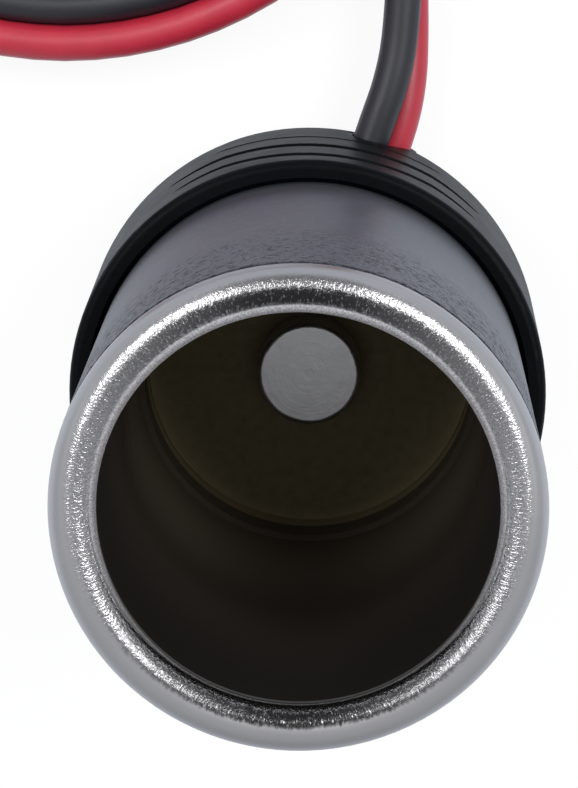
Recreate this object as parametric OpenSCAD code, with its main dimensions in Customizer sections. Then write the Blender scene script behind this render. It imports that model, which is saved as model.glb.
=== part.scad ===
// In-line socket for a twelve volt accessory plug, standing on its rear end with the mouth up.
// Millimetres. +Z is the axis of the bore, pointing out of the mouth. The origin is the centre of
// the base. +Y is the side that the lead leaves from, and the lead lies on the same surface.

/* [Node] */
// The sub-part to build, or all of them

/* [Shell] */
// Height of the whole socket
socket_h = 46; // [44:0.5:60]
// Radius of the bore that a plug slides into
bore_r = 10.5; // [10.4:0.05:10.6]
// Thickness of the shell's sheet
sheet_t = 0.5; // [0.4:0.05:0.6]
// Outer radius of the rolled lip's section
curl_r = 1.25; // [1.1:0.05:1.4]
// Depth of the bore from the mouth to the insulating floor
bore_depth = 38; // [34:0.5:38]
// Radius of the shell's narrower rear end, which the floor is pressed into
seat_r = 10.2; // [10.1:0.05:10.3]

/* [Contact and insulation] */
// Radius of the contact's head
head_r = 3.2; // [2.5:0.05:4]
// Height of the contact's head above the floor
head_h = 3.3; // [2:0.1:5]
// Radius of the rounding on the contact's head
head_edge = 0.3; // [0.2:0.1:0.8]
// Radius of the contact's shank
shank_r = 1.5; // [1.2:0.05:1.6]
// Thickness of the insulating floor
disc_t = 1.2; // [1:0.1:1.4]

/* [Sleeve and cap] */
// Outer radius of the sleeve
sleeve_r = 13; // [12.8:0.05:13.2]
// Height of the sleeve's lower end above the base
sleeve_z = 9.5; // [9:0.1:10]
// Outer radius of the cap at its front edge
cap_front_r = 14.33; // [14.2:0.01:14.6]
// Outer radius of the cap where its rear rounding starts
cap_rear_r = 14.45; // [14.3:0.01:14.7]
// Height of the cap
cap_h = 17.8; // [17:0.1:19]
// Radius of the cap's rear rounding
cap_round = 4.5; // [3.5:0.1:5]
// Thickness of the cap's closed end
cap_floor = 1.1; // [1:0.1:1.2]
// Height of the lowest grip groove
groove_z = 6.9; // [6.5:0.1:8]
// Distance from one grip groove to the next
groove_pitch = 3.7; // [3.5:0.1:4]
// Width of a grip groove's bottom
groove_w = 0.6; // [0.4:0.1:0.8]
// Depth of a grip groove at the middle of its run
groove_depth = 0.45; // [0.2:0.05:0.6]
// Depth of the flattened panel that carries the grooves, at the middle of its run
panel_depth = 0.15; // [0.1:0.05:0.2]
// Shift of the centre of grooves and panel off the axis, which makes them run out on both sides
groove_shift = 1.7; // [0.8:0.1:2]

/* [Lead] */
// Diameter of each wire over its insulation
wire_d = 2.3; // [2:0.1:2.4]
// Direction in which the lead leaves the cap, from the X axis
exit_turn = 71.5; // [65:0.5:75]
// Height of the middle of the lead where it leaves the cap
exit_z = 3.5; // [3.4:0.1:3.6]
// Tilt of the pair of wires in the grommet, from lying flat
exit_tilt = 50; // [45:1:55]
// Radius of the coil at the middle of its turns
coil_r = 23; // [22:0.5:26]
// Height of the coil above the surface, where the tie passes under it
coil_lift = 0.5; // [0.4:0.1:0.6]

/* [Hidden] */
$fn = 96;
clear = 0.05;
wire_r = wire_d / 2;
shell_r = bore_r + sheet_t;
lip_r = bore_r + curl_r;
lip_z = socket_h - curl_r;
floor_z = socket_h - bore_depth;
flange_top = floor_z - disc_t;
flange_z = flange_top - sheet_t;
flange_hole = 4;
seat_top = floor_z + head_h + 0.7;
seat_step = 0.3;
shank_hole = shank_r + clear;
washer_r = 5.5;
washer_t = 0.8;
washer_z = flange_z - washer_t;
tag_t = 0.5;
tag_z = washer_z - tag_t;
tag_w = 3;
tag_len = 6.5;
tag_turn = 51;
eyelet_r = 3.1;
clench_r = 2.3;
clench_t = 0.3;
clench_z = tag_z - clench_t;
rivet_z = clench_z - 0.4;
earth_in = 7.7;
earth_out = 10.7;
earth_w = 4;
earth_z = flange_z - tag_t;
core_r = 0.6;
core_drop = core_r + 0.1;
core_len = 4.1;
bead_r = 1.2;
bore_gap = 0.1;
tie_z = 3.7;
sleeve_top = socket_h - 2;
cavity_r = 12.2;
cavity_round = 1.5;
rib_r = 9.5;
rib_t = 1.2;
edge_r = 0.5;
lowest_share = 0.5;
lowest_rise = 0.5;
panel_z = 3;
panel_top = cap_h - 1;
groove_turn = -5;
groove_reach = 1.2;
groove_flare = 1.25;
mouth_chamfer = 0.25;
exit_dir = [cos(exit_turn), sin(exit_turn), 0];
grommet_wall = 0.35;
grommet_in = 11.2;
grommet_out = 14.1;
tie_in = 9.8;
tie_w = 1.3;
tie_t = 0.4;
tie_gap = 0.1;
coil_at = [-15.5, 43.4, 0];
coil_w = 2 * wire_d + 0.2;
coil_h = 2 * wire_d + 0.2;
coil_tie_turn = 105;
coil_tie_w = 3;
tip_len = 5;
tip_gap = 0.06;
// Middle of the pair of wires from the cap to the coil: x, y, z and the pair's tilt in degrees
pair_route = [
    [3.01, 9.01, tie_z, exit_tilt],
    [3.81, 11.39, exit_z, exit_tilt],
    [4.88, 14.58, exit_z, exit_tilt],
    [5.55, 17.1, 3.3, 60],
    [5.9, 20, 3, 72],
    [6, 24.5, 2.8, 80],
    [5.85, 29.2, 2.66, 70]
];
// Middle of the pair of wires from the coil to its end
tail_route = [
    [8.9, 51.3, 3.4, 60],
    [9.2, 53.8, 3.3, 25],
    [10, 58.9, 2.6, 0],
    [10.6, 63.9, 1.7, 0],
    [10.7, 68.4, 1.3, 0]
];
// Inner ends of the two wires, under the two tags
black_start = [[-2.2, -6.6, 4.6], [-1.07, -3.2, 3.2], [0.24, 0.72, 3], [0.75, 4.2, 3.2], [0.95, 7.2, 4.4]];
red_start = [[3.5, 6.9, 3.7]];

function unit(v) = v / norm(v);
function heading(p, i) = unit(p[min(i + 1, len(p) - 1)] - p[max(i - 1, 0)]);
function flat(p) = [for (q = p) [q[0], q[1], q[2]]];
function left_of(t) = unit([-t[1], t[0], 0]);
// One wire of the pair: side is 1 for the wire on the left and -1 for the one on the right
function beside(route, side) = let (p = flat(route)) [
    for (i = [0:len(p) - 1])
        let (tilt = route[i][3])
        p[i] + side * wire_r * (left_of(heading(p, i)) * cos(tilt) + [0, 0, 1] * sin(tilt))
];
function ring(p, t, r, n) = let (s = left_of(t), u = cross(t, s)) [
    for (k = [0:n - 1]) p + r * (cos((k + 0.5) * 360 / n) * s + sin((k + 0.5) * 360 / n) * u)
];

// A plain tube along a list of points
module tube(p, r, n = 8) {
    last = len(p) - 1;
    points = [for (i = [0:last]) each ring(p[i], heading(p, i), r, n)];
    sides = [
        for (i = [0:last - 1], k = [0:n - 1])
            let (a = i * n + k, b = i * n + (k + 1) % n)
            each [[a, a + n, b], [b, a + n, b + n]]
    ];
    ends = [[for (k = [0:n - 1]) k], [for (k = [n - 1:-1:0]) last * n + k]];
    polyhedron(points = points, faces = concat(sides, ends));
}

// Outline round both wires of the pair, seen along the lead where it leaves the cap
module pair_outline(r) {
    rotate([0, 0, -exit_tilt]) {
        for (side = [-1, 1])
            translate([side * wire_r, 0]) circle(r);
        square([wire_d, 2 * r], center = true);
    }
}

// A straight piece round the pair, between two distances from the axis
module along_exit(from, to, z) {
    translate(exit_dir * from + [0, 0, z])
        rotate([0, 0, exit_turn - 90]) rotate([90, 0, 0]) mirror([0, 0, 1])
            linear_extrude(to - from) children();
}

module contact_shell() {
    color([0.78, 0.78, 0.76])
        rotate_extrude() {
            polygon([
                [bore_r, lip_z],
                [bore_r, seat_top],
                [seat_r, seat_top - seat_step],
                [seat_r, flange_top],
                [flange_hole, flange_top],
                [flange_hole, flange_z],
                [seat_r + sheet_t, flange_z],
                [seat_r + sheet_t, seat_top - seat_step],
                [shell_r, seat_top],
                [shell_r, lip_z]
            ]);
            difference() {
                translate([lip_r, lip_z]) circle(curl_r);
                translate([lip_r, lip_z]) circle(curl_r - sheet_t);
                translate([shell_r, lip_z - curl_r]) square([0.45, curl_r]);
            }
        }
}

module body_sleeve() {
    color([0.16, 0.17, 0.19])
        rotate_extrude()
            difference() {
                translate([shell_r + clear, sleeve_z])
                    square([sleeve_r - shell_r - clear, sleeve_top - sleeve_z]);
                translate([lip_r, lip_z]) circle(curl_r);
            }
}

module cap_outline() {
    polygon([
        [0, 0],
        [cap_rear_r - cap_round, 0],
        [cap_rear_r, cap_round],
        [cap_front_r, cap_h - edge_r],
        [cap_front_r - edge_r, cap_h],
        [0, cap_h]
    ]);
    translate([cap_rear_r - cap_round, cap_round]) circle(cap_round);
    translate([cap_front_r - edge_r, cap_h - edge_r]) circle(edge_r);
}

module cap_hollow() {
    translate([0, cap_floor + cavity_round])
        square([cavity_r, sleeve_z - cap_floor - cavity_round]);
    translate([0, cap_floor]) square([cavity_r - cavity_round, sleeve_z - cap_floor]);
    translate([cavity_r - cavity_round, cap_floor + cavity_round]) circle(cavity_round);
    translate([0, sleeve_z]) square([sleeve_r + clear, cap_h]);
    polygon([
        [0, cap_h - mouth_chamfer],
        [sleeve_r + clear, cap_h - mouth_chamfer],
        [sleeve_r + clear + mouth_chamfer, cap_h],
        [0, cap_h]
    ]);
}

// Section of one groove, cut inwards from its flaring mouth
module groove_section(depth, z) {
    translate([cap_rear_r + groove_shift - depth, z])
        polygon([
            [0, -groove_w / 2],
            [0, groove_w / 2],
            [groove_reach, groove_w / 2 + groove_reach * groove_flare],
            [groove_reach, -groove_w / 2 - groove_reach * groove_flare]
        ]);
}

// A flattened panel on each side with three grooves, all deepest in the middle of their run
module grip_grooves() {
    for (side = [-1, 1])
        rotate([0, 0, groove_turn]) translate([0, -side * groove_shift, 0])
            rotate_extrude() {
                groove_section(groove_depth * lowest_share, groove_z + lowest_rise);
                groove_section(groove_depth, groove_z + groove_pitch);
                groove_section(groove_depth, groove_z + 2 * groove_pitch);
                translate([groove_shift - panel_depth, 0])
                    polygon([
                        [cap_rear_r, panel_z],
                        [cap_front_r, panel_top],
                        [cap_front_r + groove_reach, panel_top + groove_reach / 2],
                        [cap_rear_r + groove_reach, panel_z - groove_reach / 2]
                    ]);
            }
}

// Ribs inside the cap that carry the shell's flange
module cap_ribs() {
    for (i = [0:5])
        rotate([0, 0, exit_turn + 30 + 60 * i])
            translate([rib_r, -rib_t / 2, cap_floor])
                cube([cavity_r - rib_r + 0.3, rib_t, flange_z - cap_floor]);
}

module rear_cap() {
    color([0.1, 0.1, 0.12]) {
        difference() {
            rotate_extrude()
                difference() {
                    intersection() {
                        cap_outline();
                        square([cap_rear_r, cap_h]);
                    }
                    cap_hollow();
                }
            grip_grooves();
            along_exit(grommet_in - 1, grommet_out + 3, exit_z)
                pair_outline(wire_r + bore_gap + grommet_wall);
        }
        cap_ribs();
    }
}

module floor_disc() {
    color([0.24, 0.2, 0.13])
        translate([0, 0, flange_top])
            difference() {
                cylinder(r = seat_r - clear, h = disc_t);
                translate([0, 0, -1]) cylinder(r = shank_hole, h = disc_t + 2);
            }
}

module rear_washer() {
    color([0.24, 0.2, 0.13])
        translate([0, 0, washer_z])
            difference() {
                union() {
                    cylinder(r = washer_r, h = washer_t);
                    cylinder(r = flange_hole - clear, h = flange_top - washer_z);
                }
                translate([0, 0, -1]) cylinder(r = shank_hole, h = disc_t + 3);
            }
}

module contact_rivet() {
    color([0.6, 0.6, 0.58])
        rotate_extrude() {
            translate([0, floor_z]) square([head_r, head_h - head_edge]);
            translate([0, floor_z]) square([head_r - head_edge, head_h]);
            intersection() {
                translate([head_r - head_edge, floor_z + head_h - head_edge]) circle(head_edge);
                translate([0, floor_z]) square([head_r, head_h]);
            }
            translate([0, rivet_z]) square([shank_r, floor_z - rivet_z]);
            translate([0, rivet_z]) square([clench_r - 0.3, clench_z - rivet_z]);
        }
}

module clench_washer() {
    color([0.7, 0.6, 0.35])
        translate([0, 0, clench_z])
            difference() {
                cylinder(r = clench_r, h = clench_t);
                translate([0, 0, -1]) cylinder(r = shank_hole, h = clench_t + 2);
            }
}

module positive_tag() {
    color([0.78, 0.65, 0.35])
        translate([0, 0, tag_z])
            difference() {
                union() {
                    cylinder(r = eyelet_r, h = tag_t);
                    rotate([0, 0, tag_turn])
                        translate([0, -tag_w / 2, 0]) cube([tag_len, tag_w, tag_t]);
                }
                translate([0, 0, -1]) cylinder(r = shank_hole, h = tag_t + 2);
            }
}

module negative_tag() {
    color([0.78, 0.65, 0.35])
        rotate([0, 0, exit_turn + 180])
            translate([earth_in, -earth_w / 2, earth_z])
                cube([earth_out - earth_in, earth_w, tag_t]);
}

// The stripped ends of the wires, flat under the tags
module positive_core() {
    color([0.72, 0.42, 0.26])
        translate([3.5, 6.8, tag_z - core_drop])
            rotate([0, 0, -90]) rotate([0, 90, 0]) cylinder(r = core_r, h = core_len, $fn = 24);
}

module negative_core() {
    color([0.72, 0.42, 0.26])
        rotate([0, 0, exit_turn + 180])
            translate([7, 0, earth_z - core_drop])
                rotate([0, 90, 0]) cylinder(r = core_r, h = 3.6, $fn = 24);
}

module positive_solder() {
    color([0.7, 0.7, 0.72])
        difference() {
            translate([3.5, 4.3, tag_z - core_drop]) sphere(bead_r, $fn = 32);
            positive_core();
            translate([0, 0, tag_z]) cylinder(r = 9, h = 3);
        }
}

module negative_solder() {
    color([0.7, 0.7, 0.72])
        difference() {
            rotate([0, 0, exit_turn + 180])
                translate([9.1, 0, earth_z - core_drop]) sphere(bead_r, $fn = 32);
            negative_core();
            translate([0, 0, earth_z]) cylinder(r = 12, h = 3);
        }
}

module lead_grommet() {
    color([0.08, 0.08, 0.09])
        along_exit(grommet_in, grommet_out, exit_z)
            difference() {
                pair_outline(wire_r + bore_gap + grommet_wall);
                pair_outline(wire_r + bore_gap);
            }
}

module inner_tie() {
    color([0.85, 0.85, 0.82])
        along_exit(tie_in, tie_in + tie_w, tie_z)
            difference() {
                pair_outline(wire_r + tie_gap + tie_t);
                pair_outline(wire_r + tie_gap);
            }
}

module wire_black() {
    color([0.05, 0.05, 0.06]) tube(concat(black_start, beside(pair_route, 1)), wire_r);
}

module wire_red() {
    color([0.75, 0.08, 0.13]) tube(concat(red_start, beside(pair_route, -1)), wire_r);
}

module lead_coil() {
    color([0.6, 0.08, 0.12])
        translate(coil_at)
            rotate_extrude()
                translate([coil_r - coil_w / 2, coil_lift]) square([coil_w, coil_h]);
}

module coil_tie() {
    color([0.1, 0.1, 0.11])
        translate(coil_at)
            rotate([0, 0, coil_tie_turn])
                translate([coil_r, 0, coil_lift + coil_h / 2])
                    difference() {
                        cube([coil_w + 1.2, coil_tie_w, coil_h + 2 * coil_lift], center = true);
                        cube([coil_w + 0.2, coil_tie_w + 1, coil_h], center = true);
                    }
}

module tail_black() {
    color([0.05, 0.05, 0.06]) tube(beside(tail_route, 1), wire_r);
}

module tail_red() {
    color([0.75, 0.08, 0.13]) tube(beside(tail_route, -1), wire_r);
}

// The stripped and tinned end of one wire of the tail
module tip(side) {
    p = beside(tail_route, side);
    last = len(p) - 1;
    t = heading(p, last);
    color([0.75, 0.75, 0.77])
        translate(p[last])
            rotate([0, 0, atan2(t[1], t[0])]) rotate([0, 90, 0])
                translate([0, 0, tip_gap]) cylinder(r = core_r, h = tip_len, $fn = 24);
}

module tip_black() {
    tip(1);
}

module tip_red() {
    tip(-1);
}

contact_shell();
body_sleeve();
rear_cap();
floor_disc();
rear_washer();
contact_rivet();
clench_washer();
positive_tag();
negative_tag();
positive_solder();
negative_solder();
positive_core();
negative_core();
lead_grommet();
inner_tie();
wire_black();
wire_red();
lead_coil();
coil_tie();
tail_black();
tail_red();
tip_black();
tip_red();
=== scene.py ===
import math

import bmesh
import bpy
from mathutils import Matrix, Vector


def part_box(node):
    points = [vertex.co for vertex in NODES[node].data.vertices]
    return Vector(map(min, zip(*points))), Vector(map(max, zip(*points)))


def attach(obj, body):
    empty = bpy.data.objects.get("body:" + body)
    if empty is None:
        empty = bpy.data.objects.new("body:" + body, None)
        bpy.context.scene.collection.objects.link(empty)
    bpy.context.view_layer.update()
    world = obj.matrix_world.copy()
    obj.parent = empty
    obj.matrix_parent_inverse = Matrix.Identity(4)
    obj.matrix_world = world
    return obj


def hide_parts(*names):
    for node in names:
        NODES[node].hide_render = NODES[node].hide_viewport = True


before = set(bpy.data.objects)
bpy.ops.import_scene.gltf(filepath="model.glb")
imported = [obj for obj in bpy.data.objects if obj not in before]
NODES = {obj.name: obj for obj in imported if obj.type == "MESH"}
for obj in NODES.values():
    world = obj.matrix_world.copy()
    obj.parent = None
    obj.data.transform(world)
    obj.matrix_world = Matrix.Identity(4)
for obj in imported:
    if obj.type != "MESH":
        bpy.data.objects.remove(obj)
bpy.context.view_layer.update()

bl_info = {
    "name": "Accessory socket",
    "version": (1, 0, 0),
    "blender": (4, 5, 0),
    "location": "View3D > Sidebar > Socket",
    "description": "Dresses an in-line accessory socket, its lead and the studio that it stands in",
    "category": "Object",
}

MM = 0.001

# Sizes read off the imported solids, in metres
SHELL_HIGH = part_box("contact_shell")[1]
SLEEVE_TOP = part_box("body_sleeve")[1].z
CAP_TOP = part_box("rear_cap")[1].z
FLOOR_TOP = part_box("floor_disc")[1].z
CONTACT_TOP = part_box("contact_rivet")[1].z

# The narrow foot of the bore ends a little above the contact's head
SEAT_TOP = CONTACT_TOP + 0.7 * MM

# The rolled lip: its section's radius, the middle of that section, and the bore inside it
LIP_SECTION = 1.25 * MM
LIP_RADIUS = SHELL_HIGH.x - LIP_SECTION
LIP_Z = SHELL_HIGH.z - LIP_SECTION
BORE = LIP_RADIUS - LIP_SECTION

# Middle of the pair of wires: x, y and z in millimetres, and the pair's tilt in degrees
LEAD_ROUTE = [
    (3.81, 11.39, 3.5, 50),
    (4.88, 14.58, 3.5, 50),
    (5.55, 17.1, 3.3, 60),
    (5.9, 20.0, 3.0, 72),
    (6.0, 24.5, 2.8, 80),
    (5.9, 28.6, 2.7, 72),
    (6.1, 32.8, 2.4, 48),
    (6.8, 37.6, 2.0, 20),
]
TAIL_ROUTE = [
    (8.4, 49.4, 4.0, 0),
    (9.1, 53.6, 3.5, 0),
    (10.0, 58.9, 2.6, 0),
    (10.6, 63.9, 1.7, 0),
    (10.7, 68.4, 1.3, 0),
]
INNER_ROUTE = [(3.01, 9.01, 3.7, 50), LEAD_ROUTE[0]]
LEAD_STEPS = 4
INNER_STEPS = 5

# Middle of each wire between its tag and the pair, in millimetres
BLACK_START = [
    (-2.2, -6.6, 4.6),
    (-1.07, -3.2, 3.2),
    (0.24, 0.72, 3.0),
    (0.75, 4.2, 3.2),
    (0.95, 7.2, 4.4),
]
RED_START = [(3.5, 6.9, 3.7)]

# The coil, in millimetres, with the share of a turn in which the pair climbs to the next
COIL_MIDDLE = (-15.5, 43.85)
COIL_POINTS = 20
COIL_CLIMB = 0.2

# The tie: its place round the coil, its strap, its head and cut end, and its sharp edges
TIE_TURN = math.radians(105)
TIE_HEIGHT = 2.9
TIE_SIZE = Vector((5.7, 2.8, 5.5)) * MM
TIE_CORNER = 1.3 * MM
TIE_SHEET = 0.3 * MM
TIE_HEAD = Vector((1.7, 3.8, 3.4)) * MM
TIE_HEAD_PLACE = Vector((TIE_SIZE.x / 2 + 0.6 * MM, 0, 0.3 * MM))
TIE_HEAD_CORNER = 0.35 * MM
TIE_END = Vector((0.5, 2.2, 2.2)) * MM
TIE_END_PLACE = Vector((TIE_SIZE.x / 2 + 0.75 * MM, 0, -1.6 * MM))
TIE_SHARP = math.radians(35)

# The bare ends: six strands twisted round a seventh
STRANDS_ROUND = 6
STRAND_LENGTH = 5.3 * MM
STRAND_TUCK = 0.3 * MM
STRAND_RADIUS = 0.2 * MM
STRAND_OUT = 0.38 * MM
STRAND_STEPS = 12
STRAND_TWIST = math.radians(200)

# Camera fitted to the photograph, all in millimetres
CAMERA_EYE = (3.23, 42.07, 206.2)
CAMERA_AIM = (-0.806, 2.915, 30.0)
CAMERA_LENS = 147.06
CAMERA_SENSOR = 36

# Lamps: name, place in millimetres, side in metres and power in watts
LAMPS = (
    ("back_left", (-205, 150, 350), 0.19, 0.8),
    ("back_right", (215, 150, 350), 0.19, 1.1),
)
LAMP_AIM = (0, 0, 30)
WORLD_COLOUR = (0.94, 0.97, 1.0, 1.0)
WORLD_STRENGTH = 0.7

# The floor's reach in metres, and how much of it is seen as a plain bright backdrop
FLOOR_REACH = 3.0
SEEN_SHARE = 0.9
MIRRORED_SHARE = 0.64

# Colours that a user wouldn't change
# Painted reflection of the fibre floor on the foot of the bore wall
WALL_FOOT_REFLECTION = (0.15, 0.125, 0.09, 1.0)
WALL_MIDDLE = (0.032, 0.025, 0.018, 1.0)
WALL_MOUTH = (0.006, 0.0045, 0.0035, 1.0)
CONTACT_TONES = ((0.44, 0.43, 0.44, 1.0), (0.66, 0.65, 0.66, 1.0))
BRASS_TONES = ((0.52, 0.38, 0.15, 1.0), (0.68, 0.52, 0.24, 1.0))
SOLDER_TONES = ((0.42, 0.42, 0.43, 1.0), (0.62, 0.62, 0.63, 1.0))
COPPER_TONES = ((0.55, 0.24, 0.13, 1.0), (0.72, 0.36, 0.22, 1.0))
INNER_TIE_COLOUR = (0.62, 0.62, 0.57)
COIL_TIE_COLOUR = (0.018, 0.018, 0.02)
BACKDROP_SEEN = (1.0, 1.0, 1.0, 1.0)
BACKDROP_MIRRORED = (0.80, 0.87, 1.0, 1.0)

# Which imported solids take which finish
PACKED_FINISHES = {
    "plated_shell": ["contact_shell"],
    "sleeve": ["body_sleeve"],
    "cap": ["rear_cap"],
    "fibre": ["floor_disc", "rear_washer"],
    "contact": ["contact_rivet"],
    "brass": ["clench_washer", "positive_tag", "negative_tag"],
    "solder": ["positive_solder", "negative_solder", "tip_black", "tip_red"],
    "copper": ["positive_core", "negative_core"],
    "grommet": ["lead_grommet"],
    "inner_tie": ["inner_tie"],
    "coil_tie": ["coil_tie"],
    "wire_red": ["wire_red", "lead_coil", "tail_red"],
    "wire_black": ["wire_black", "tail_black"],
}


class SocketSizes(bpy.types.PropertyGroup):
    """Sizes of the pieces that are made here"""

    wire_diameter: bpy.props.FloatProperty(
        name="Wire diameter",
        description="Diameter of one wire over its insulation",
        default=2.3 * MM,
        unit="LENGTH",
    )
    coil_radius: bpy.props.FloatProperty(
        name="Coil radius",
        description="Radius of the coil at the middle of its turns",
        default=23 * MM,
        unit="LENGTH",
    )
    coil_turns: bpy.props.IntProperty(
        name="Coil turns", description="Whole turns of the coiled lead", default=2
    )
    coil_height: bpy.props.FloatProperty(
        name="Coil height",
        description="Height of the middle of the lowest turn",
        default=1.7 * MM,
        unit="LENGTH",
    )


class SocketColours(bpy.types.PropertyGroup):
    """Colours of the finishes"""

    nickel: bpy.props.FloatVectorProperty(
        name="Nickel",
        description="Plating of the shell",
        subtype="COLOR",
        size=3,
        default=(0.43, 0.42, 0.43),
    )
    rubber: bpy.props.FloatVectorProperty(
        name="Sleeve",
        description="Black of the sleeve",
        subtype="COLOR",
        size=3,
        default=(0.017, 0.020, 0.035),
    )
    cap: bpy.props.FloatVectorProperty(
        name="Cap",
        description="Black of the rear cap",
        subtype="COLOR",
        size=3,
        default=(0.0015, 0.0018, 0.0026),
    )
    fibre: bpy.props.FloatVectorProperty(
        name="Fibre",
        description="Pressed fibre of the insulating floor",
        subtype="COLOR",
        size=3,
        default=(0.20, 0.165, 0.095),
    )
    red: bpy.props.FloatVectorProperty(
        name="Red wire",
        description="Red insulation",
        subtype="COLOR",
        size=3,
        default=(0.39, 0.017, 0.036),
    )
    black: bpy.props.FloatVectorProperty(
        name="Black wire",
        description="Black insulation",
        subtype="COLOR",
        size=3,
        default=(0.009, 0.009, 0.014),
    )
    floor: bpy.props.FloatVectorProperty(
        name="Floor",
        description="Plain pale floor",
        subtype="COLOR",
        size=3,
        default=(0.92, 0.92, 0.92),
    )


class Value:
    """A shader socket that takes part in Python expressions"""

    def __init__(self, maker, socket):
        self.maker = maker
        self.socket = socket

    def _math(self, operation, *values):
        return self.maker.node("ShaderNodeMath", {"operation": operation}, dict(enumerate(values)))

    def __add__(self, other):
        return self._math("ADD", self, other)

    def __radd__(self, other):
        return self._math("ADD", other, self)

    def __sub__(self, other):
        return self._math("SUBTRACT", self, other)

    def __rsub__(self, other):
        return self._math("SUBTRACT", other, self)

    def __mul__(self, other):
        return self._math("MULTIPLY", self, other)

    def __rmul__(self, other):
        return self._math("MULTIPLY", other, self)

    def __truediv__(self, other):
        return self._math("DIVIDE", self, other)

    def root(self):
        """Square root"""
        return self._math("SQRT", self)

    def turn(self, x):
        """Angle of the point x, self, in radians"""
        return self._math("ARCTAN2", self, x)

    def ramp(self, low, high):
        """0 below low, 1 above high, smooth between them"""
        return self.maker.node(
            "ShaderNodeMapRange",
            {"interpolation_type": "SMOOTHSTEP"},
            {"Value": self, "From Min": low, "From Max": high},
        )


class Finish:
    """Builds one material from its nodes"""

    def __init__(self, name):
        self.material = bpy.data.materials.new(name + "_finish")
        self.material.use_nodes = True
        self.tree = self.material.node_tree
        self.shader = self.tree.nodes["Principled BSDF"]
        self.position = self.node("ShaderNodeTexCoord", {}, {}, "Object")

    def node(self, kind, settings, inputs, output=0):
        """One node by its type, its settings and its sockets' values or links"""
        made = self.tree.nodes.new(kind)
        for key, value in settings.items():
            setattr(made, key, value)
        for key, value in inputs.items():
            self.put(made.inputs[key], value)
        return Value(self, made.outputs[output])

    def put(self, socket, value):
        """Links a value to a socket, or sets the socket to a plain number or colour"""
        if isinstance(value, Value):
            self.tree.links.new(value.socket, socket)
        else:
            socket.default_value = value

    def set(self, **values):
        """Values or links of the main shader's sockets"""
        for key, value in values.items():
            self.put(self.shader.inputs[key.replace("_", " ")], value)

    def parts(self):
        """The point's x, y and z"""
        made = self.node("ShaderNodeSeparateXYZ", {}, {"Vector": self.position}, "X")
        outputs = made.socket.node.outputs
        return [Value(self, outputs[axis]) for axis in "XYZ"]

    def join(self, x, y, z):
        """A vector from three values or numbers"""
        return self.node("ShaderNodeCombineXYZ", {}, {"X": x, "Y": y, "Z": z})

    def noise(self, scale, detail, roughness=0.55, vector=None):
        """Cloudy noise about 0.5, on the piece's own coordinates unless a vector is given"""
        return self.node(
            "ShaderNodeTexNoise",
            {},
            {
                "Vector": self.position if vector is None else vector,
                "Scale": scale,
                "Detail": detail,
                "Roughness": roughness,
            },
        )

    def mix(self, factor, first, second):
        """The first colour where factor is 0, the second where it is 1"""
        made = self.node("ShaderNodeMix", {"data_type": "RGBA"}, {"Factor": factor})
        inputs = made.socket.node.inputs
        self.put(inputs[6], first)
        self.put(inputs[7], second)
        return Value(self, made.socket.node.outputs[2])

    def bump(self, height, strength, distance):
        """Relief, with the distance in metres for a height of 1"""
        self.put(
            self.shader.inputs["Normal"],
            self.node(
                "ShaderNodeBump",
                {},
                {"Height": height, "Strength": strength, "Distance": distance},
            ),
        )


def colour(rgb, gain=1.0):
    """A colour property as four numbers, darker or lighter by gain"""
    return (*(min(1.0, channel * gain) for channel in rgb), 1.0)


def polar(finish):
    """Distance from the axis, the direction round it as a unit vector's two parts, and z"""
    x, y, z = finish.parts()
    radius = (x * x + y * y).root() + 1e-7
    return radius, x / radius, y / radius, z


def bore_wall(finish, colours, z):
    """Dark wall, darker towards the mouth, with a faint dark ring at the seat's edge

    The foot, and most of all its lowest stretch, has a painted reflection of the fibre floor.
    """
    # The wall's foot is lighter: a painted reflection of the fibre floor
    above_foot = z.ramp(LIP_Z - 31 * MM, LIP_Z - 17 * MM)
    near_mouth = z.ramp(LIP_Z - 22 * MM, LIP_Z)
    below_seat = 1 - z.ramp(SEAT_TOP, SEAT_TOP + 0.05 * MM)
    seat_edge = z.ramp(SEAT_TOP - 0.35 * MM, SEAT_TOP - 0.28 * MM) * below_seat
    above_floor = z.ramp(FLOOR_TOP + 1.2 * MM, FLOOR_TOP + 1.6 * MM)
    wall = finish.mix(above_foot, WALL_FOOT_REFLECTION, WALL_MIDDLE)
    wall = finish.mix(near_mouth, wall, WALL_MOUTH)
    wall = finish.mix(seat_edge * 0.5, wall, WALL_MIDDLE)
    # Painted reflection of the fibre floor on the lowest stretch of the wall
    return finish.mix(above_floor, colour(colours.fibre, 2.4), wall)


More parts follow.
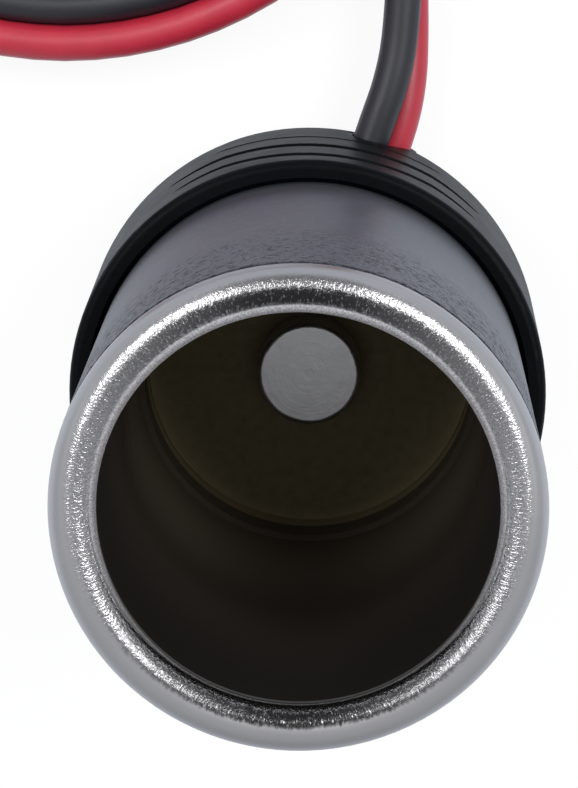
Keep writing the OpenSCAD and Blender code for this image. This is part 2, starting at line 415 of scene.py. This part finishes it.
def nickel_finish(colours):
    """Satin plate, with a crazed streaky crest, a painted dark reflection ring inside it and a dark
    bore

    The zones lie by the angle round the lip's section, from 0 at its outside to half a turn
    in the bore, and shift with how far north, to the back, the place is.
    """
    finish = Finish("plated_shell")
    radius, east, north, z = polar(finish)
    across = (z - LIP_Z).turn(radius - LIP_RADIUS)
    grain = finish.noise(1.0, 2.0, 0.6, finish.join(east * 62.0, north * 62.0, across * 2.6))
    fine = finish.noise(1.0, 1.0, 0.5, finish.join(east * 125.0, north * 125.0, across * 6.0))
    grit = finish.noise(9500.0, 2.0, 0.6)
    cloud = finish.noise(260.0, 2.0)
    # Middle of the painted dark reflection ring; the other zones are measured from it
    dark_band_middle = 1.99 - 0.29 * north
    zone = across - dark_band_middle
    south = (-1.0 * north).ramp(0.0, 1.0)
    edge = zone - 0.5 * south
    crest = (zone + 0.28 * north).ramp(-0.8, -0.42) * (1 - edge.ramp(0.3, 0.5))
    # Place across the painted dark reflection ring, with a ragged edge
    dark_band_offset = zone + 0.1 * south + (grain - 0.5) * 0.4
    shade = (1 - (dark_band_offset * dark_band_offset).ramp(0.05, 0.2)) * (0.2 + 0.8 * north * north)
    # Painted shade on the crest at the back, between the two lamps' highlights
    lamp_gap_shade = north.ramp(0.92, 1.0)
    # Inner band of the lip: rougher, and brightened with painted light
    inner = (edge - 0.1 * north).ramp(0.26, 0.42)
    # Painted shade on the outside of the lip at the front and back
    outer_painted_shade = (1 - zone.ramp(-1.5, -0.8)) * north * north
    inside = 1 - radius.ramp(BORE + 0.02 * MM, BORE + 0.12 * MM)
    deep = 1 - (z + (1 - north) * (0.2 * MM)).ramp(LIP_Z - 0.2 * MM, LIP_Z + 0.3 * MM)
    dark = inside * deep
    pepper = grit.ramp(0.32, 0.6) * crest + 0.55 * (1 - crest)
    plate = finish.mix(
        pepper * 0.8 + cloud * 0.2, colour(colours.nickel, 0.74), colour(colours.nickel, 1.14)
    )
    # Painted shade on the outside of the lip at the front and back
    plate = finish.mix(outer_painted_shade * 0.45, plate, colour(colours.nickel, 0.35))
    # Painted light on the rougher inner band of the lip
    inner_painted_light = finish.mix(
        fine.ramp(0.35, 0.65), colour(colours.nickel, 1.5), colour(colours.nickel, 2.1)
    )
    # Painted shade on the crest at the back, between the two lamps' highlights
    plate = finish.mix(crest * lamp_gap_shade * 0.6, plate, colour(colours.nickel, 0.2))
    # Painted light on the rougher inner band of the lip
    plate = finish.mix(inner, plate, inner_painted_light)
    # Painted dark reflection ring inside the crest
    plate = finish.mix(shade * fine.ramp(0.15, 0.45), plate, colour(colours.nickel, 0.07))
    finish.set(
        Base_Color=finish.mix(dark, plate, bore_wall(finish, colours, z)),
        Metallic=1 - dark * 0.9,
        Specular_IOR_Level=0.25,
        Roughness=0.33 + 0.05 * cloud - 0.13 * crest + 0.22 * inner + 0.4 * dark,
    )
    rough = grain * 0.35 + fine * 0.4 + grit * 0.25
    finish.bump(rough * (crest + 0.5 * inner), 1.0, 0.085 * MM)
    return finish.material


def sleeve_finish(colours):
    """Dull black with worn and dusty patches, fine rings, pits near the mouth and painted shade
    next to the cap
    """
    finish = Finish("sleeve")
    _, east, north, z = polar(finish)
    pits = finish.noise(2300.0, 3.0, 0.7)
    patches = finish.noise(230.0, 3.0, 0.6)
    drag = finish.noise(1.0, 3.0, 0.6, finish.join(east * 9.0, north * 9.0, z * 900.0))
    near_rim = z.ramp(SLEEVE_TOP - 12 * MM, SLEEVE_TOP - 4 * MM)
    # Painted shade next to the cap, where the sleeve is also rougher
    near_cap = 1 - z.ramp(CAP_TOP - 0.5 * MM, CAP_TOP + 6 * MM)
    worn = patches.ramp(0.5, 0.72)
    pit = pits.ramp(0.52, 0.62) * near_rim
    dust = finish.noise(1200.0, 4.0, 0.7).ramp(0.56, 0.66) * worn
    base = finish.mix(worn, colour(colours.rubber, 0.9), colour(colours.rubber, 1.3))
    base = finish.mix(drag.ramp(0.56, 0.7) * 0.5, base, colour(colours.rubber, 1.9))
    base = finish.mix(dust * 0.6, base, colour(colours.rubber, 4.0))
    # Painted shade next to the cap
    base = finish.mix(near_cap * 0.8, base, colour(colours.rubber, 0.2))
    finish.set(
        Base_Color=finish.mix(pit * 0.7, base, colour(colours.rubber, 0.2)),
        Roughness=0.36 + 0.08 * patches + 0.06 * pits + 0.25 * near_cap + 0.3 * pit,
        Specular_IOR_Level=0.6,
    )
    finish.bump(pits * (0.15 + near_rim) + drag * 0.2, 0.8, 0.22 * MM)
    return finish.material


def cap_finish(colours):
    """Satin black with a fine grain"""
    finish = Finish("cap")
    mottle = finish.noise(420.0, 3.0, 0.6)
    grain = finish.noise(3600.0, 2.0, 0.6)
    finish.set(
        Base_Color=finish.mix(mottle, colour(colours.cap, 0.8), colour(colours.cap, 1.4)),
        Roughness=0.38 + 0.14 * mottle,
        Specular_IOR_Level=0.09,
        Specular_Tint=(0.55, 0.58, 0.55, 1.0),
    )
    finish.bump(grain + mottle, 0.3, 0.04 * MM)
    return finish.material


def fibre_finish(colours):
    """Flecked brown board, paler at its edge"""
    finish = Finish("fibre")
    radius = polar(finish)[0]
    fleck = finish.noise(1500.0, 4.0, 0.65)
    edge = radius.ramp(BORE - 1.2 * MM, BORE - 0.1 * MM)
    base = finish.mix(fleck, colour(colours.fibre, 0.7), colour(colours.fibre, 1.35))
    finish.set(
        Base_Color=finish.mix(edge * 0.5, base, colour(colours.fibre, 1.8)),
        Roughness=0.75 + 0.1 * fleck,
        Specular_IOR_Level=0.15,
    )
    finish.bump(fleck, 0.3, 0.05 * MM)
    return finish.material


def contact_finish():
    """Turned metal with faint rings and a centre mark"""
    finish = Finish("contact")
    radius = polar(finish)[0]
    mottle = finish.noise(900.0, 4.0, 0.65)
    rings = finish.noise(1.0, 2.0, 0.5, finish.join(radius * 9000.0, 0.0, 0.0))
    dimple = 1 - radius.ramp(0.15 * MM, 0.42 * MM)
    finish.set(
        Base_Color=finish.mix(mottle, *CONTACT_TONES),
        Metallic=1.0,
        Roughness=0.32 + 0.14 * mottle,
    )
    finish.bump(mottle + rings * 0.4 - dimple * 0.3, 0.35, 0.06 * MM)
    return finish.material


def plain_metal(name, tones, roughness):
    """Bare metal between a dark and a light tone"""
    finish = Finish(name)
    mottle = finish.noise(700.0, 3.0, 0.6)
    finish.set(
        Base_Color=finish.mix(mottle, *tones),
        Metallic=1.0,
        Roughness=roughness + 0.15 * mottle,
    )
    finish.bump(mottle, 0.2, 0.03 * MM)
    return finish.material


def plastic(name, base, roughness):
    """Moulded plastic with a fine grain"""
    finish = Finish(name)
    mottle = finish.noise(500.0, 3.0, 0.6)
    grain = finish.noise(2600.0, 2.0, 0.6)
    finish.set(
        Base_Color=finish.mix(mottle, colour(base, 0.85), colour(base, 1.15)),
        Roughness=roughness + 0.12 * mottle,
    )
    finish.bump(grain + mottle, 0.3, 0.03 * MM)
    return finish.material


def material(name):
    """The finish made here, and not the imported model's plain material of that name"""
    return bpy.data.materials[name + "_finish"]


def smooth_route(points, steps):
    """Points along a smooth curve through all given points, which may have any number of parts"""
    made = []
    last = len(points) - 1
    for i in range(last):
        before = points[max(i - 1, 0)]
        after = points[min(i + 2, last)]
        for k in range(steps):
            t = k / steps
            made.append(
                tuple(
                    0.5
                    * (
                        2 * b
                        + (c - a) * t
                        + (2 * a - 5 * b + 4 * c - d) * t * t
                        + (3 * b - a - 3 * c + d) * t * t * t
                    )
                    for a, b, c, d in zip(before, points[i], points[i + 1], after)
                )
            )
    made.append(tuple(points[last]))
    return made


def coil_route(sizes):
    """Turns of the flat pair, each lying on the one below, with its step up near the turn's end"""
    points = []
    last_turn = sizes.coil_turns - 1
    for i in range(sizes.coil_turns * COIL_POINTS + 1):
        angle = 2 * math.pi * i / COIL_POINTS
        turn = min(i // COIL_POINTS, last_turn)
        level = turn
        if turn < last_turn:
            climb = max(0.0, (i / COIL_POINTS - turn - 1 + COIL_CLIMB) / COIL_CLIMB)
            level += climb * climb * (3 - 2 * climb)
        points.append(
            (
                COIL_MIDDLE[0] + sizes.coil_radius / MM * math.cos(angle),
                COIL_MIDDLE[1] + sizes.coil_radius / MM * math.sin(angle),
                sizes.coil_height / MM + level * sizes.wire_diameter / MM,
                0.0,
            )
        )
    return points


def lead_centre(sizes):
    """The whole lead's middle line, from inside the grommet to its far end"""
    return smooth_route(LEAD_ROUTE + coil_route(sizes) + TAIL_ROUTE, LEAD_STEPS)


def wire_line(route, side, spread):
    """One wire's own line, beside the middle of the pair"""
    line = []
    for i, (x, y, z, tilt) in enumerate(route):
        a = Vector(route[max(i - 1, 0)][:3])
        b = Vector(route[min(i + 1, len(route) - 1)][:3])
        ahead = (b - a).normalized()
        left = Vector((-ahead.y, ahead.x, 0)).normalized()
        lean = math.radians(tilt)
        offset = (left * math.cos(lean) + Vector((0, 0, 1)) * math.sin(lean)) * side * spread
        line.append((Vector((x, y, z)) + offset) * MM)
    return line


def new_piece(name, mesh):
    """An object at the origin that holds the mesh"""
    piece = bpy.data.objects.new(name, mesh)
    bpy.context.scene.collection.objects.link(piece)
    return piece


def tube(name, line, radius, finish, resolution=4):
    """A round tube along a line, as a mesh"""
    data = bpy.data.curves.new(name + "_line", "CURVE")
    data.dimensions = "3D"
    data.bevel_depth = radius
    data.bevel_resolution = resolution
    data.use_fill_caps = True
    spline = data.splines.new("POLY")
    spline.points.add(len(line) - 1)
    for point, place in zip(spline.points, line):
        point.co = (*place, 1.0)
    holder = bpy.data.objects.new(name + "_line", data)
    bpy.context.scene.collection.objects.link(holder)
    evaluated = holder.evaluated_get(bpy.context.evaluated_depsgraph_get())
    mesh = bpy.data.meshes.new_from_object(evaluated)
    bpy.data.objects.remove(holder)
    bpy.data.curves.remove(data)
    mesh.name = name
    mesh.materials.clear()
    mesh.materials.append(material(finish))
    mesh.shade_smooth()
    return new_piece(name, mesh)


def join_pieces(name, pieces):
    """Several pieces as one, each with its own material"""
    joined = bmesh.new()
    finishes = []
    for index, piece in enumerate(pieces):
        first = len(joined.faces)
        joined.from_mesh(piece.data)
        joined.faces.ensure_lookup_table()
        for face in joined.faces[first:]:
            face.material_index = index
        finishes.append(piece.data.materials[0])
    mesh = bpy.data.meshes.new(name)
    joined.to_mesh(mesh)
    joined.free()
    for finish in finishes:
        mesh.materials.append(finish)
    for piece in pieces:
        old = piece.data
        bpy.data.objects.remove(piece)
        bpy.data.meshes.remove(old)
    mesh.shade_smooth()
    return new_piece(name, mesh)


def dress(node, finish):
    """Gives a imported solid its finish"""
    slots = NODES[node].material_slots
    if not slots:
        raise RuntimeError(f"{node} has no material slot")
    for slot in slots:
        slot.material = material(finish)


class SOCKET_OT_camera(bpy.types.Operator):
    """Places the camera at the photograph's viewing angle"""

    bl_idname = "socket.camera"
    bl_label = "Camera"

    def execute(self, context):
        eye = Vector(CAMERA_EYE) * MM
        aim = Vector(CAMERA_AIM) * MM
        back = (eye - aim).normalized()
        right = Vector((0, 1, 0)).cross(back).normalized()
        up = back.cross(right)
        data = bpy.data.cameras.new("camera")
        data.lens = CAMERA_LENS
        data.sensor_width = CAMERA_SENSOR
        data.clip_start = 0.01
        camera = bpy.data.objects.new("camera", data)
        context.scene.collection.objects.link(camera)
        camera.matrix_world = Matrix(
            (
                (right.x, up.x, back.x, eye.x),
                (right.y, up.y, back.y, eye.y),
                (right.z, up.z, back.z, eye.z),
                (0, 0, 0, 1),
            )
        )
        context.scene.camera = camera
        return {"FINISHED"}


class SOCKET_OT_finishes(bpy.types.Operator):
    """Makes every material"""

    bl_idname = "socket.finishes"
    bl_label = "Finishes"

    def execute(self, context):
        colours = context.scene.socket_colours
        nickel_finish(colours)
        sleeve_finish(colours)
        cap_finish(colours)
        fibre_finish(colours)
        contact_finish()
        plain_metal("brass", BRASS_TONES, 0.3)
        plain_metal("solder", SOLDER_TONES, 0.28)
        plain_metal("copper", COPPER_TONES, 0.3)
        plastic("grommet", colours.cap, 0.5)
        plastic("inner_tie", INNER_TIE_COLOUR, 0.4)
        plastic("coil_tie", COIL_TIE_COLOUR, 0.42)
        plastic("wire_red", colours.red, 0.36)
        plastic("wire_black", colours.black, 0.4)
        return {"FINISHED"}


class SOCKET_OT_lead(bpy.types.Operator):
    """Makes the twin lead from the grommet through its coil to the bare ends"""

    bl_idname = "socket.lead"
    bl_label = "Lead"

    def execute(self, context):
        sizes = context.scene.socket_sizes
        radius = sizes.wire_diameter / 2
        route = lead_centre(sizes)
        spread = radius / MM
        wires = [
            tube("black_side", wire_line(route, 1, spread), radius, "wire_black"),
            tube("red_side", wire_line(route, -1, spread), radius, "wire_red"),
        ]
        lead = join_pieces("twin_lead", wires)
        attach(lead, "root")
        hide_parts("wire_black", "wire_red", "lead_coil", "tail_black", "tail_red")
        return {"FINISHED"}


class SOCKET_OT_strands(bpy.types.Operator):
    """Makes the tinned, twisted strands at the lead's far end"""

    bl_idname = "socket.strands"
    bl_label = "Strands"

    def execute(self, context):
        sizes = context.scene.socket_sizes
        route = lead_centre(sizes)
        for name, side in (("black", 1), ("red", -1)):
            before, end = wire_line(route, side, sizes.wire_diameter / MM / 2)[-2:]
            ahead = (end - before).normalized()
            ahead.z = 0
            ahead.normalize()
            across = Vector((-ahead.y, ahead.x, 0))
            strands = [self.strand(end, ahead, across, 0.0, 0)]
            strands += [
                self.strand(end, ahead, across, STRAND_OUT, i) for i in range(STRANDS_ROUND)
            ]
            piece = join_pieces(f"strands_{name}", strands)
            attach(piece, "root")
            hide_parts(f"tip_{name}")
        return {"FINISHED"}

    def strand(self, end, ahead, across, out, index):
        """One strand, out from the middle of the bundle"""
        line = []
        for k in range(STRAND_STEPS + 1):
            share = k / STRAND_STEPS
            turn = 2 * math.pi * index / STRANDS_ROUND + STRAND_TWIST * share
            aside = across * math.cos(turn) + Vector((0, 0, math.sin(turn)))
            line.append(end + ahead * (share * STRAND_LENGTH - STRAND_TUCK) + aside * out)
        return tube(f"strand_{index}", line, STRAND_RADIUS, "solder", resolution=1)


class SOCKET_OT_tie(bpy.types.Operator):
    """Makes the cable tie round the coil"""

    bl_idname = "socket.tie"
    bl_label = "Tie"

    def execute(self, context):
        sizes = context.scene.socket_sizes
        shape = bmesh.new()
        self.strap(shape)
        head = self.block(shape, TIE_HEAD, TIE_HEAD_PLACE)
        edges = {edge for vertex in head for edge in vertex.link_edges}
        self.round_edges(shape, list(edges), TIE_HEAD_CORNER, 3)
        self.block(shape, TIE_END, TIE_END_PLACE)
        turn = Matrix.Rotation(TIE_TURN, 3, "Z")
        bmesh.ops.rotate(shape, cent=(0, 0, 0), matrix=turn, verts=shape.verts)
        place = Vector((*COIL_MIDDLE, TIE_HEIGHT)) * MM
        place += Vector((math.cos(TIE_TURN), math.sin(TIE_TURN), 0)) * sizes.coil_radius
        bmesh.ops.translate(shape, vec=place, verts=shape.verts)
        bmesh.ops.recalc_face_normals(shape, faces=shape.faces)
        mesh = bpy.data.meshes.new("cable_tie")
        shape.to_mesh(mesh)
        shape.free()
        mesh.materials.append(material("coil_tie"))
        mesh.shade_smooth()
        mesh.set_sharp_from_angle(angle=TIE_SHARP)
        piece = new_piece("cable_tie", mesh)
        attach(piece, "root")
        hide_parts("coil_tie")
        return {"FINISHED"}

    def block(self, shape, size, place):
        """A box of that size at that place"""
        corners = bmesh.ops.create_cube(shape, size=1.0)["verts"]
        bmesh.ops.scale(shape, vec=size, verts=corners)
        bmesh.ops.translate(shape, vec=place, verts=corners)
        return corners

    def round_edges(self, shape, edges, radius, segments):
        """Rounds the edges in that many flats"""
        bmesh.ops.bevel(
            shape,
            geom=edges,
            offset=radius,
            segments=segments,
            profile=0.5,
            affect="EDGES",
            material=-1,
        )

    def strap(self, shape):
        """The strap's loop, with round corners and open along the wires"""
        self.block(shape, TIE_SIZE, (0, 0, 0))
        long_edges = [
            edge
            for edge in shape.edges
            if abs(edge.verts[0].co.y - edge.verts[1].co.y) > TIE_SIZE.y / 2
        ]
        self.round_edges(shape, long_edges, TIE_CORNER, 5)
        shape.normal_update()
        ends = [face for face in shape.faces if abs(face.normal.y) > 0.9]
        bmesh.ops.delete(shape, geom=ends, context="FACES_ONLY")
        bmesh.ops.solidify(shape, geom=shape.faces[:], thickness=TIE_SHEET)


class SOCKET_OT_inner_wires(bpy.types.Operator):
    """Makes the stretches of the two wires inside the cap"""

    bl_idname = "socket.inner_wires"
    bl_label = "Inner wires"

    def execute(self, context):
        radius = context.scene.socket_sizes.wire_diameter / 2
        for name, start, side in (("black", BLACK_START, 1), ("red", RED_START, -1)):
            pair = wire_line(INNER_ROUTE, side, radius / MM)
            points = [tuple(p) for p in start] + [tuple(p / MM) for p in pair]
            line = [Vector(p) * MM for p in smooth_route(points, INNER_STEPS)]
            piece = tube(f"inner_{name}", line, radius, f"wire_{name}")
            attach(piece, "root")
        return {"FINISHED"}


class SOCKET_OT_packed_parts(bpy.types.Operator):
    """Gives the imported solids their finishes"""

    bl_idname = "socket.packed_parts"
    bl_label = "Packed parts"

    def execute(self, context):
        for finish, nodes in PACKED_FINISHES.items():
            for node in nodes:
                dress(node, finish)
        return {"FINISHED"}


class SOCKET_OT_stage(bpy.types.Operator):
    """Makes the floor, the lamps and the world"""

    bl_idname = "socket.stage"
    bl_label = "Stage"

    def execute(self, context):
        self.make_floor(context.scene.socket_colours)
        for name, place, size, power in LAMPS:
            data = bpy.data.lights.new(name, "AREA")
            data.shape = "SQUARE"
            data.size = size
            data.energy = power
            lamp = bpy.data.objects.new(name, data)
            context.scene.collection.objects.link(lamp)
            lamp.location = Vector(place) * MM
            ahead = Vector(LAMP_AIM) * MM - lamp.location
            lamp.rotation_euler = ahead.to_track_quat("-Z", "Y").to_euler()
        world = bpy.data.worlds.new("studio")
        context.scene.world = world
        world.use_nodes = True
        background = world.node_tree.nodes["Background"].inputs
        background["Color"].default_value = WORLD_COLOUR
        background["Strength"].default_value = WORLD_STRENGTH
        context.scene.view_settings.view_transform = "Standard"
        return {"FINISHED"}

    def make_floor(self, colours):
        """The pale floor, and the backdrop that takes its place in part"""
        shape = bmesh.new()
        bmesh.ops.create_grid(shape, x_segments=1, y_segments=1, size=FLOOR_REACH)
        mesh = bpy.data.meshes.new("floor")
        shape.to_mesh(mesh)
        shape.free()
        floor = new_piece("floor", mesh)
        finish = Finish("floor")
        finish.set(Base_Color=colour(colours.floor), Roughness=0.7)
        seen = finish.node("ShaderNodeLightPath", {}, {}, "Is Camera Ray")
        kinds = seen.socket.node.outputs
        mirrored = Value(finish, kinds["Is Glossy Ray"])
        through = Value(finish, kinds["Is Transmission Ray"])
        light = finish.mix(seen, BACKDROP_MIRRORED, BACKDROP_SEEN)
        glow = finish.node("ShaderNodeEmission", {}, {"Color": light, "Strength": 1.0})
        lit = Value(finish, finish.shader.outputs[0])
        share = SEEN_SHARE * seen + MIRRORED_SHARE * (mirrored + through)
        blend = finish.node("ShaderNodeMixShader", {}, {0: share, 1: lit, 2: glow})
        out = finish.tree.nodes["Material Output"]
        finish.put(out.inputs["Surface"], blend)
        mesh.materials.append(finish.material)


class SOCKET_PT_panel(bpy.types.Panel):
    """Lists the socket's operators and values"""

    bl_label = "Socket"
    bl_idname = "SOCKET_PT_panel"
    bl_space_type = "VIEW_3D"
    bl_region_type = "UI"
    bl_category = "Socket"

    def draw(self, context):
        layout = self.layout
        for group in (context.scene.socket_sizes, context.scene.socket_colours):
            for key in group.__annotations__:
                layout.prop(group, key)
        for operator in OPERATORS:
            layout.operator(operator.bl_idname)


OPERATORS = (
    SOCKET_OT_camera,
    SOCKET_OT_finishes,
    SOCKET_OT_strands,
    SOCKET_OT_tie,
    SOCKET_OT_lead,
    SOCKET_OT_inner_wires,
    SOCKET_OT_packed_parts,
    SOCKET_OT_stage,
)
CLASSES = (SocketSizes, SocketColours, *OPERATORS, SOCKET_PT_panel)


def register():
    for kind in CLASSES:
        bpy.utils.register_class(kind)
    bpy.types.Scene.socket_sizes = bpy.props.PointerProperty(type=SocketSizes)
    bpy.types.Scene.socket_colours = bpy.props.PointerProperty(type=SocketColours)


def unregister():
    del bpy.types.Scene.socket_colours
    del bpy.types.Scene.socket_sizes
    for kind in reversed(CLASSES):
        bpy.utils.unregister_class(kind)


def main():
    register()
    bpy.ops.socket.camera()
    bpy.ops.socket.finishes()
    bpy.ops.socket.strands()
    bpy.ops.socket.tie()
    bpy.ops.socket.lead()
    bpy.ops.socket.inner_wires()
    bpy.ops.socket.packed_parts()
    bpy.ops.socket.stage()


if __name__ == "__main__":
    main()
